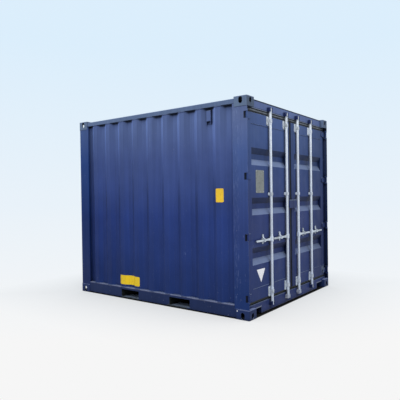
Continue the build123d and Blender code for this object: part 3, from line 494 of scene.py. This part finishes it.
# Pale paint of the drip strip: partly its own paint, partly a painted highlight along the header's lower edge
STRIP = paint("paint_strip", [(112, 120, 134), (112, 120, 134), (116, 124, 138), (122, 130, 144)], chips=0.6)
ZINC = zinc("zinc", rgb(196, 204, 214), rgb(216, 222, 230))
ROD_ZINC = zinc("zinc_rods", rgb(206, 216, 232), rgb(240, 247, 255), dirt=0.15, metal=0.2)
STEEL = zinc("worn_steel", rgb(120, 116, 110), rgb(120, 116, 110), dirt=0.9, grime=rgb(92, 60, 42))
RUBBER = rubber("rubber")
WOOD = plywood("plywood")
YELLOW = plate_finish("yellow_sticker", rgb(255, 206, 44), rgb(196, 150, 56), amount=0.3, rain=0.2)
LOW_YELLOW = plate_finish("low_yellow_sticker", rgb(255, 214, 20), rgb(206, 160, 40), amount=0.25, rain=0.15)
WHITE = plate_finish("white_mark", rgb(255, 253, 254), rgb(190, 194, 208), amount=0.10, rain=0.05)
PLATE = plate_finish("plate_metal", rgb(132, 135, 130), rgb(92, 94, 90), amount=0.6, metal=0.2)

node_finish = {
    "top_castings": HIGH_CASTING,
    "top_side_rails": TOP,
    "front_header": TOP,
    "door_header": HEADER,
    "roof_panel": TOP,
    "roof_corner_plates": TOP,
    "bottom_castings": LOW_CASTING,
    "bottom_side_rails": LOW,
    "front_sill": LOW,
    "door_sill": SILL,
    "rear_posts": POST,
    "rear_post_channels": JAMB,
    "front_posts": FRONT,
    "cam_keepers": KEEPER,
    "cross_members": UNDER,
    "forklift_pockets": UNDER,
    "left_side_panel": SIDE,
    "right_side_panel": SIDE,
    "front_panel": SIDE,
    "ventilators": SIDE,
    "left_door_panel": PANEL,
    "right_door_panel": PANEL,
    "floor_boards": WOOD,
    "threshold": STEEL,
}
for name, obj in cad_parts.items():
    if name.endswith("_rod"):
        finish = ROD_ZINC
    elif name.endswith(("_handle", "_guides", "_catches")):
        finish = ZINC
    else:
        finish = node_finish.get(name, DOOR)
    obj.data.materials.clear()
    obj.data.materials.append(finish)


# Pieces
class Shape:
    """Vertices and faces of one piece, gathered from closed solids."""

    def __init__(self):
        self.points = []
        self.faces = []

    def add(self, points, faces):
        start = len(self.points)
        self.points.extend(points)
        self.faces.extend([tuple(start + i for i in face) for face in faces])

    def rings(self, rings, closed=False):
        """A skin over rings with equal numbers of points, capped unless the rings close on themselves."""
        count = len(rings[0])
        points = [p for ring in rings for p in ring]
        faces = []
        for a in range(len(rings) if closed else len(rings) - 1):
            b = (a + 1) % len(rings)
            for i in range(count):
                j = (i + 1) % count
                faces.append((a * count + i, a * count + j, b * count + j, b * count + i))
        if not closed:
            faces.append(tuple(reversed(range(count))))
            last = (len(rings) - 1) * count
            faces.append(tuple(last + i for i in range(count)))
        self.add(points, faces)

    def lathe(self, centre, axis, profile, steps=12):
        """A turned solid: profile is (radius, height along the axis) from foot to head."""
        turn = Vector((0, 0, 1)).rotation_difference(Vector(axis)).to_matrix()
        rings = []
        for radius, height in profile:
            ring = []
            for i in range(steps):
                angle = 2 * math.pi * i / steps
                place = Vector((radius * math.cos(angle), radius * math.sin(angle), height))
                ring.append(Vector(centre) + turn @ place)
            rings.append(ring)
        self.rings(rings)

    def slab(self, outline, y_back, thick):
        """A flat plate facing the door end, from an outline of (x, z)."""
        self.rings([[Vector((x, y, z)) for x, z in outline] for y in (y_back, y_back - thick)])

    def bead(self, path, radius, seed):
        """A weld bead along a path: a rippled, slightly uneven string of metal."""
        stations = walk(path, BEAD_STEP)
        rings = []
        for k, (point, along) in enumerate(stations):
            side = along.cross(Vector((0, 0, 1)) if abs(along.z) < 0.9 else Vector((1, 0, 0))).normalized()
            up = side.cross(along)
            wobble = noise.noise(Vector((k * 0.35, seed * 7.7, 0)))
            size = radius * (1.0 + 0.22 * wobble + (0.07 if k % 2 else -0.07))
            ring = []
            for i in range(6):
                angle = math.pi / 6 + i * math.pi / 3
                ring.append(point + size * (math.cos(angle) * side + math.sin(angle) * up))
            rings.append(ring)
        self.rings(rings)

    def made(self, name, material, slot, body=BODY, smooth=True, bevel=0.0):
        mesh = bpy.data.meshes.new(name)
        mesh.from_pydata([tuple(p) for p in self.points], [], self.faces)
        mesh.materials.append(material)
        mesh.update()
        obj = bpy.data.objects.new(name, mesh)
        scene.collection.objects.link(obj)
        if smooth:
            mesh.shade_smooth()
        if bevel:
            rounding = obj.modifiers.new("edges", "BEVEL")
            rounding.width = bevel
            rounding.segments = 2
            rounding.limit_method = "ANGLE"
        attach(obj, body)
        return obj


def walk(path, step):
    """Evenly spaced (point, direction) along a path of straight runs."""
    points = [Vector(p) for p in path]
    stations = []
    for a, b in zip(points, points[1:]):
        run = b - a
        count = max(1, round(run.length / step))
        for i in range(count):
            stations.append((a + run * i / count, run.normalized()))
    stations.append((points[-1], (points[-1] - points[-2]).normalized()))
    return stations


def wave(start, stop, ridges, flat, slope, depth):
    """Outer line of a corrugated wall, as (place along it, depth)."""
    line = [(start, depth)]
    for ridge in ridges:
        line.append((ridge - flat / 2 - slope, depth))
        line.append((ridge - flat / 2, 0))
        line.append((ridge + flat / 2, 0))
        line.append((ridge + flat / 2 + slope, depth))
    line.append((stop, depth))
    return line


side_wave = wave(POST_BACK, FRONT_POST, RIDGES, RIDGE_FLAT, RIDGE_SLOPE, WALL_DEPTH)
front_wave = wave(-FRONT_HALF, FRONT_HALF, FRONT_RIDGES, FRONT_FLAT, FRONT_SLOPE, FRONT_DEPTH)


def wall_depth(place):
    """Depth of the side wall's outer face at a place along it."""
    for (a, depth_a), (b, depth_b) in zip(side_wave, side_wave[1:]):
        if a <= place <= b:
            return depth_a + (depth_b - depth_a) * (place - a) / (b - a)
    return WALL_DEPTH


def dome(radius, height):
    """Profile of a domed head with a thin flange."""
    outline = ((1.0, 0.25), (0.86, 0.6), (0.5, 0.92), (0.12, 1.0))
    return [(radius, -SUNK)] + [(radius * out, height * up) for out, up in outline]


# Welds of the walls, posts, rails and castings
welds = Shape()
for side in SIDES.values():
    for z, seed in ((WALL_FOOT, 1), (WALL_HEAD, 2)):
        line = [(side * (WALL_X - depth + SUNK), place, z) for place, depth in side_wave]
        welds.bead(line, WELD, seed * side)
    for y in (POST_BACK + SUNK, FRONT_POST - SUNK):
        line = [(side * (WALL_X - WALL_DEPTH + SUNK), y, z) for z in (RAIL_TOP, WALL_TOP)]
        welds.bead(line, WELD, 3 + y)
    for y in (-INNER_END, INNER_END):
        welds.bead([(side * BASE_FACE, y, z) for z in (0.016, CASTING_LOW - 0.004)], 0.004, 5 + y)
for z, seed in ((WALL_FOOT, 11), (WALL_HEAD, 12)):
    welds.bead([(x, FRONT_WALL_Y - depth + SUNK, z) for x, depth in front_wave], WELD, seed)
for side in SIDES.values():
    line = [(side * 1.0465, FRONT_WALL_Y - FRONT_DEPTH + SUNK, z) for z in (RAIL_TOP, WALL_TOP)]
    welds.bead(line, WELD, 13 + side)
    for z, lift in ((CASTING_LOW, SUNK), (CASTING_HIGH, -SUNK)):
        post = [(1.209, -1.4905), (POST_SIDE, -1.4905), (POST_SIDE, -INNER_END)]
        welds.bead([(side * x, y, z + lift) for x, y in post], FINE_WELD, z + side)
        corner = [(POST_SIDE, INNER_END), (POST_SIDE, 1.4900), (INNER_SIDE + 0.002, 1.4900)]
        welds.bead([(side * x, y, z + lift) for x, y in corner], FINE_WELD, z - side)
welds.made("wall_welds", SIDE, "blue_paint")

# Door leaves: welds round the panel and the hinge blades
for leaf, side in SIDES.items():
    seams = Shape()
    y = DOOR_FACE + SUNK
    x_in, x_out = LEAF_INNER[leaf] + STILE + SUNK, LEAF_OUTER - STILE - SUNK
    for z in (PANEL_LOW + SUNK, PANEL_HIGH - SUNK):
        seams.bead([(side * x_in, y, z), (side * x_out, y, z)], FINE_WELD, z)
    root, reach, half, cut = 1.144, 1.080, 0.036, 0.012
    outline = [(root, -half), (reach + cut, -half), (reach, -half + cut)]
    outline += [(reach, half - cut), (reach + cut, half), (root, half)]
    for z in HINGE_Z:
        seams.bead([(side * x, DOOR_FACE - SUNK, z + v) for x, v in outline], 0.004, z * 3 + side)
    seams.made(leaf + "_leaf_welds", DOOR, "blue_paint", leaf + "_door")

# Drip strip under the header, open where the rods' keepers stand; its pale paint is partly a painted highlight
# along the header's lower edge
DRIP_SECTION = [(0.0, 0.0), (-0.0040, 0.0010), (-0.0045, 0.0030), (-0.0030, 0.0065), (0.0, 0.0075)]
DRIP_Z = 2.4735
drips = Shape()
for ends in ((-1.050, -0.662), (-0.578, -0.216), (-0.132, 0.132), (0.216, 0.578), (0.662, 1.050)):
    drips.rings([[Vector((x, DOOR_FACE + u, DRIP_Z + v)) for u, v in DRIP_SECTION] for x in ends])
drips.made("header_drip_strip", STRIP, "blue_paint", smooth=False)

# Folded lip along the head of each lock box, in the paler top paint: a painted highlight along the box's top
# edge
LIP_SECTION = [
    (0.0, -0.012), (-0.0016, -0.0115), (-0.0020, 0.0), (-0.0012, 0.0014),
    (0.004, 0.0016), (0.022, 0.0016), (0.022, 0.0), (0.0, 0.0),
]
for leaf, side in SIDES.items():
    lip = Shape()
    lip.rings([
        [Vector((side * x, LOCK_BOX_FRONT + u, LOCK_BOX_HIGH + v)) for u, v in LIP_SECTION]
        for x in (LOCK_BOX_NEAR + 0.001, LOCK_BOX_FAR - 0.001)
    ])
    lip.made(leaf + "_lock_box_lip", TOP, "blue_paint", leaf + "_door", smooth=False)

# Hinge pins' heads on the lugs
PIN_HEAD = [(0.0088, -SUNK), (0.0088, 0.004), (0.0070, 0.006), (0.0020, 0.0066)]
heads = Shape()
for side in SIDES.values():
    for z in HINGE_Z:
        for end in (-1, 1):
            centre = (side * PIN_X, PIN_Y, z + end * 0.060)
            heads.lathe(centre, (0, 0, end), PIN_HEAD, 16)
heads.made("hinge_pin_heads", POST, "blue_paint")

# Bolts of the rod guides and handle catches
BOLT_INSET = 0.020
CATCH_FACE = DOOR_FACE - 0.005
for leaf, side in SIDES.items():
    bolts = Shape()
    for x in ROD_X.values():
        for z, tall, wide in GUIDES:
            rises = (-tall / 2 + BOLT_INSET, tall / 2 - BOLT_INSET) if tall > 0.06 else (0.0,)
            for rise in rises:
                for way in (-1, 1):
                    centre = (side * x + way * (wide / 2 - 0.016), DOOR_FACE - 0.006, z + rise)
                    bolts.lathe(centre, (0, -1, 0), dome(0.0085, 0.006), 14)
        centre = (side * (x + CATCH_FROM_ROD), CATCH_FACE, HANDLE_Z - 0.032)
        bolts.lathe(centre, (0, -1, 0), dome(0.0070, 0.005), 14)
    bolts.made(leaf + "_guide_bolts", ZINC, "galvanised", leaf + "_door")

# Rings that keep each rod from sliding in its guides, and the hook of each handle over its catch
RING = [(0.0162, 0), (0.0198, 0.001), (0.0205, 0.003), (0.0205, 0.009), (0.0198, 0.011), (0.0162, 0.012)]
HOOK_BEND, HOOK_THICK, HOOK_WIDE = 0.0330, 0.0030, 0.0130
for leaf, side in SIDES.items():
    for place, x in ROD_X.items():
        rod = f"{leaf}_{place}_rod"
        handle = f"{leaf}_{place}_handle"
        ring = Shape()
        for z in (GUIDES[0][0] + 0.034, GUIDES[2][0] - 0.034):
            ring.lathe((side * x, ROD_Y, z - 0.006), (0, 0, 1), RING, 24)
        ring.made(rod + "_rings", ROD_ZINC, "galvanised", rod)
        hook = Shape()
        plate_y, seat = CATCH_FACE - 0.0003 - HOOK_THICK, HANDLE_HALF + HOOK_THICK + 0.0002
        line = [(plate_y, 0.071), (plate_y, seat + HOOK_BEND)]
        for i in range(1, 9):
            angle = math.pi / 2 * i / 8
            line.append((plate_y - HOOK_BEND * (1 - math.cos(angle)), seat + HOOK_BEND * (1 - math.sin(angle))))
        line.append((plate_y - HOOK_BEND - 0.0020, seat))
        rings = []
        for k, (y, v) in enumerate(line):
            before, after = line[max(k - 1, 0)], line[min(k + 1, len(line) - 1)]
            along = Vector((0, after[0] - before[0], after[1] - before[1])).normalized()
            out = HOOK_THICK * Vector((0, along.z, -along.y))
            centre = Vector((side * (x + CATCH_FROM_ROD), y, HANDLE_Z + v))
            half = Vector((HOOK_WIDE if 0 < k < len(line) - 1 else HOOK_WIDE - 0.002, 0, 0))
            rings.append([centre + half + out, centre - half + out, centre - half - out, centre + half - out])
        hook.rings(rings)
        hook.made(handle + "_hook", ZINC, "galvanised", handle, smooth=False, bevel=0.001)

# Seals: a lipped rubber section carried round each leaf
SEAL_SECTION = [
    (-0.02, 0.0), (0.55, -0.0002), (0.95, 0.0012), (1.0, 0.0035), (0.93, 0.0062),
    (0.62, 0.0080), (0.46, 0.0100), (0.42, 0.0150), (0.46, 0.0200), (0.62, 0.0220),
    (0.93, 0.0238), (1.0, 0.0265), (0.95, 0.0288), (0.55, 0.0302), (-0.02, 0.0300),
]
for leaf, side in SIDES.items():
    seal = Shape()
    front = DOOR_FACE + 0.006
    spots = [(i / 24, 0) for i in range(24)] + [(1, i / 40) for i in range(40)]
    spots += [(1 - i / 24, 1) for i in range(24)] + [(0, 1 - i / 40) for i in range(40)]
    rings = []
    for u, v in spots:
        ring = []
        for out, deep in SEAL_SECTION:
            left = LEAF_INNER[leaf] - (LEAF_INNER[leaf] - 0.005) * out
            right = LEAF_OUTER + 0.015 * out
            low = LEAF_LOW - 0.024 * out
            high = LEAF_HIGH + 0.043 * out
            sag = 0.0006 * noise.noise(Vector((u * 9, v * 17, out * 2 + side))) * (out > 0.5)
            x = side * (left + (right - left) * u)
            ring.append(Vector((x, front + deep * 0.99 + sag, low + (high - low) * v)))
        rings.append(ring)
    seal.rings(rings, closed=True)
    obj = seal.made(leaf + "_gasket", RUBBER, "rubber", leaf + "_door")
    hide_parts(leaf + "_door_seal")


# Plates, stickers and marks
STICKER_LIFT, STICKER_THICK, STICKER_CORNER = 0.0004, 0.0006, 0.008


def sheet_on_wall(shape, side, y_low, y_high, z_low, z_high):
    """A sticker with round corners that follows the side wall's corrugation."""
    corner = STICKER_CORNER
    breaks = [y for y, depth in side_wave if y_low < y < y_high]
    count = max(8, int((y_high - y_low) / 0.008))
    places = sorted(set(breaks + [y_low + (y_high - y_low) * i / count for i in range(count + 1)]))
    rings = []
    for y in places:
        edge = min(y - y_low, y_high - y)
        cut = corner - math.sqrt(max(0.0, corner**2 - (corner - edge) ** 2)) if edge < corner else 0.0
        near = side * (WALL_X - wall_depth(y) + STICKER_LIFT)
        far = near + side * STICKER_THICK
        low, high = z_low + cut, z_high - cut
        rings.append([Vector((x, y, z)) for x, z in ((near, low), (far, low), (far, high), (near, high))])
    shape.rings(rings)


stickers = Shape()
for side in SIDES.values():
    sheet_on_wall(stickers, side, -1.147, -1.040, 1.365, 1.530)
stickers.made("wall_stickers", YELLOW, "blue_paint", smooth=False)
stickers = Shape()
for side in SIDES.values():
    sheet_on_wall(stickers, side, 0.262, 0.658, 0.200, 0.330)
stickers.made("low_wall_stickers", LOW_YELLOW, "blue_paint", smooth=False)

triangle = Shape()
triangle.slab([(-0.954, 0.550), (-0.750, 0.546), (-0.850, 0.3875)], DOOR_PANEL_FACE - 0.0003, 0.0006)
triangle.made("door_triangle", WHITE, "blue_paint", "left_door", smooth=False)

plate = Shape()
x0, x1, z0, z1, c = -0.954, -0.754, 1.471, 1.746, 0.008
corners = [(x0 + c, z0), (x1 - c, z0), (x1, z0 + c), (x1, z1 - c)]
corners += [(x1 - c, z1), (x0 + c, z1), (x0, z1 - c), (x0, z0 + c)]
plate.slab(corners, DOOR_PANEL_FACE - 0.0002, 0.0016)
plate.made("data_plate", PLATE, "galvanised", "left_door", smooth=False, bevel=0.0004)
rivets = Shape()
for x in (x0 + 0.012, (x0 + x1) / 2, x1 - 0.012):
    for z in (z0 + 0.012, z1 - 0.012):
        rivets.lathe((x, DOOR_PANEL_FACE - 0.0016, z), (0, -1, 0), dome(0.0042, 0.0028), 12)
rivets.made("data_plate_rivets", ZINC, "galvanised", "left_door")

# Screws of the floor
SCREW = [(0.0066, -0.004), (0.0066, 0.0004), (0.0060, 0.0007), (0.0034, 0.0001), (0.0010, 0.0)]
screws = Shape()
for y in CROSS_MEMBERS:
    for side in SIDES.values():
        for i in range(8):
            screws.lathe((side * (0.04 + i * 0.152), y, RAIL_TOP), (0, 0, 1), SCREW, 12)
screws.made("floor_screws", STEEL, "galvanised")

# Lashing bars in the wall's ridges, at the floor and under the roof
LASHING_X, LASHING_HALF, LASHING_RISE, LASHING_FOOT, LASHING_RADIUS = 1.190, 0.026, 0.022, 0.016, 0.005
lashing = Shape()
for side in SIDES.values():
    for ridge in RIDGES[1::2]:
        for z, way in ((RAIL_TOP, 1), (WALL_TOP, -1)):
            path = [(ridge - LASHING_HALF, z)]
            for i in range(17):
                angle = math.pi * i / 16
                rise = LASHING_FOOT + LASHING_RISE * math.sin(angle)
                path.append((ridge - LASHING_HALF * math.cos(angle), z + way * rise))
            path.append((ridge + LASHING_HALF, z))
            path = [Vector((side * LASHING_X, y, height)) for y, height in path]
            rings = []
            for k, centre in enumerate(path):
                along = (path[min(k + 1, len(path) - 1)] - path[max(k - 1, 0)]).normalized()
                out = Vector((1, 0, 0))
                up = out.cross(along)
                ring = []
                for i in range(10):
                    angle = i * math.pi / 5
                    ring.append(centre + LASHING_RADIUS * (math.cos(angle) * out + math.sin(angle) * up))
                rings.append(ring)
            lashing.rings(rings)
lashing.made("lashing_bars", SIDE, "blue_paint")

# Floor, backdrop, lights and camera
SKY_LOW, SKY_HIGH = rgb(232.5, 241.8, 249.5), rgb(219.5, 238, 252)
FLOOR_NEAR = rgb(246, 246, 246)


def background():
    """World: studio light that is stronger from above, with a pale sky for the camera and reflections."""
    world = bpy.data.worlds.new("studio")
    scene.world = world
    world.use_nodes = True
    tree = world.node_tree
    tree.nodes.clear()
    place = tree.nodes.new("ShaderNodeTexCoord")
    parts = tree.nodes.new("ShaderNodeSeparateXYZ")
    ramp = tree.nodes.new("ShaderNodeValToRGB")
    ramp.color_ramp.elements[0].position = 0.0
    ramp.color_ramp.elements[0].color = SKY_LOW
    ramp.color_ramp.elements[1].position = 0.31
    ramp.color_ramp.elements[1].color = SKY_HIGH
    even = tree.nodes.new("ShaderNodeBackground")
    even.inputs["Color"].default_value = rgb(236, 242, 250)
    overhead = tree.nodes.new("ShaderNodeMapRange")
    overhead.inputs["To Min"].default_value = 0.45
    overhead.inputs["To Max"].default_value = 1.35
    seen = tree.nodes.new("ShaderNodeBackground")
    rays = tree.nodes.new("ShaderNodeLightPath")
    either = tree.nodes.new("ShaderNodeMath")
    either.operation = "ADD"
    both = tree.nodes.new("ShaderNodeMath")
    both.operation = "ADD"
    both.use_clamp = True
    choose = tree.nodes.new("ShaderNodeMixShader")
    output = tree.nodes.new("ShaderNodeOutputWorld")
    tree.links.new(place.outputs["Generated"], parts.inputs[0])
    tree.links.new(parts.outputs[2], ramp.inputs[0])
    tree.links.new(parts.outputs[2], overhead.inputs["Value"])
    tree.links.new(overhead.outputs[0], even.inputs["Strength"])
    tree.links.new(ramp.outputs[0], seen.inputs["Color"])
    tree.links.new(rays.outputs["Is Camera Ray"], either.inputs[0])
    tree.links.new(rays.outputs["Is Glossy Ray"], either.inputs[1])
    tree.links.new(either.outputs[0], both.inputs[0])
    tree.links.new(rays.outputs["Is Transmission Ray"], both.inputs[1])
    tree.links.new(both.outputs[0], choose.inputs[0])
    tree.links.new(even.outputs[0], choose.inputs[1])
    tree.links.new(seen.outputs[0], choose.inputs[2])
    tree.links.new(choose.outputs[0], output.inputs[0])


background()

# Studio floor: lit and shadowed near the container, and as pale as the sky far away
FLOOR_REACH, FLOOR_TINT = 300.0, (0.785, 0.757, 0.717)
PALE_WAY, PALE_SHIFT, PALE_START = (0.7989, 0.6015), 6.950, 4.466
corners = [(x * FLOOR_REACH, y * FLOOR_REACH, 0) for x, y in ((-1, -1), (1, -1), (1, 1), (-1, 1))]
mesh = bpy.data.meshes.new("studio_floor")
mesh.from_pydata(corners, [], [(0, 1, 2, 3)])
ground = bpy.data.objects.new("studio_floor", mesh)
scene.collection.objects.link(ground)
g = Graph("studio_floor")
away = g.node("VectorMath", {0: g.place}, operation="LENGTH").outputs["Value"]
across = g.math("ADD", g.math("MULTIPLY", g.x, PALE_WAY[0]), g.math("MULTIPLY", g.y, PALE_WAY[1]))
depth = g.math("ADD", across, PALE_SHIFT)
nearness = g.math("DIVIDE", PALE_START, g.math("MAXIMUM", depth, PALE_START))
pale = g.mix(g.product(nearness, g.span(away, 20.0, 90.0, 1.0, 0.0)), SKY_LOW, FLOOR_NEAR)
rays = g.node("LightPath").outputs
seen = g.math("ADD", g.math("ADD", rays["Is Camera Ray"], rays["Is Glossy Ray"]), rays["Is Transmission Ray"])
seen = g.math("MINIMUM", seen, 1.0)
past_side = g.math("SUBTRACT", g.size(g.x), HALF_WIDTH)
past_end = g.math("SUBTRACT", g.size(g.y), HALF_LENGTH)
outside = g.math("MAXIMUM", past_side, past_end)
# Painted shadow: the floor's colour goes nearly black inside the container's footprint
painted_contact_shadow = g.span(outside, -0.008, 0.0, 0.02, 1.0)
lit = g.node("VectorMath", {0: pale, 1: FLOOR_TINT}, operation="MULTIPLY").outputs[0]
diffuse = g.node("BsdfDiffuse", {"Color": g.mix(seen, rgb(150, 150, 150), g.scaled(lit, painted_contact_shadow))})
glow = g.node("Emission", {"Color": pale, "Strength": 1.0})
share = g.product(seen, g.span(outside, -0.001, 0.001), g.span(outside, 0.0, 1.4, 0.45, 1.0))
choose = g.node("MixShader", {0: share, 1: diffuse.outputs[0], 2: glow.outputs[0]})
g.node("OutputMaterial", {0: choose.outputs[0]})
mesh.materials.append(g.material)


def lamp(name, place, target, size, power):
    data = bpy.data.lights.new(name, "AREA")
    data.shape = "DISK"
    data.size = size
    data.energy = power
    obj = bpy.data.objects.new(name, data)
    obj.location = place
    obj.rotation_mode = "QUATERNION"
    obj.rotation_quaternion = (Vector(target) - Vector(place)).to_track_quat("-Z", "Y")
    scene.collection.objects.link(obj)


lamp("key", (-6.0, -3.5, 9.0), (0, 0, 1.4), 7.0, 450)
lamp("fill", (4.0, -8.0, 7.0), (0, 0, 1.4), 7.0, 175)

# Camera at the photograph's viewing angle
CAMERA_PLACE = (-5.60338, -4.11185, 1.45467)
CAMERA_AZIMUTH = math.radians(-53.0206)
CAMERA_ELEVATION = math.radians(0.6394)
CAMERA_ROLL = math.radians(-0.7878)
back = Vector((
    math.sin(CAMERA_AZIMUTH) * math.cos(CAMERA_ELEVATION),
    -math.cos(CAMERA_AZIMUTH) * math.cos(CAMERA_ELEVATION),
    math.sin(CAMERA_ELEVATION),
))
across = Vector((0, 0, 1)).cross(back).normalized()
upright = back.cross(across)
right = math.cos(CAMERA_ROLL) * across + math.sin(CAMERA_ROLL) * upright
above = math.cos(CAMERA_ROLL) * upright - math.sin(CAMERA_ROLL) * across
camera_data = bpy.data.cameras.new("camera")
camera_data.sensor_fit = "HORIZONTAL"
camera_data.sensor_width = 36.0
camera_data.lens = 40.072
camera_data.clip_end = 1000.0
camera = bpy.data.objects.new("camera", camera_data)
camera.rotation_mode = "QUATERNION"
camera.location = CAMERA_PLACE
camera.rotation_quaternion = Matrix((right, above, back)).transposed().to_quaternion()
scene.collection.objects.link(camera)
scene.camera = camera

scene.view_settings.view_transform = "Standard"
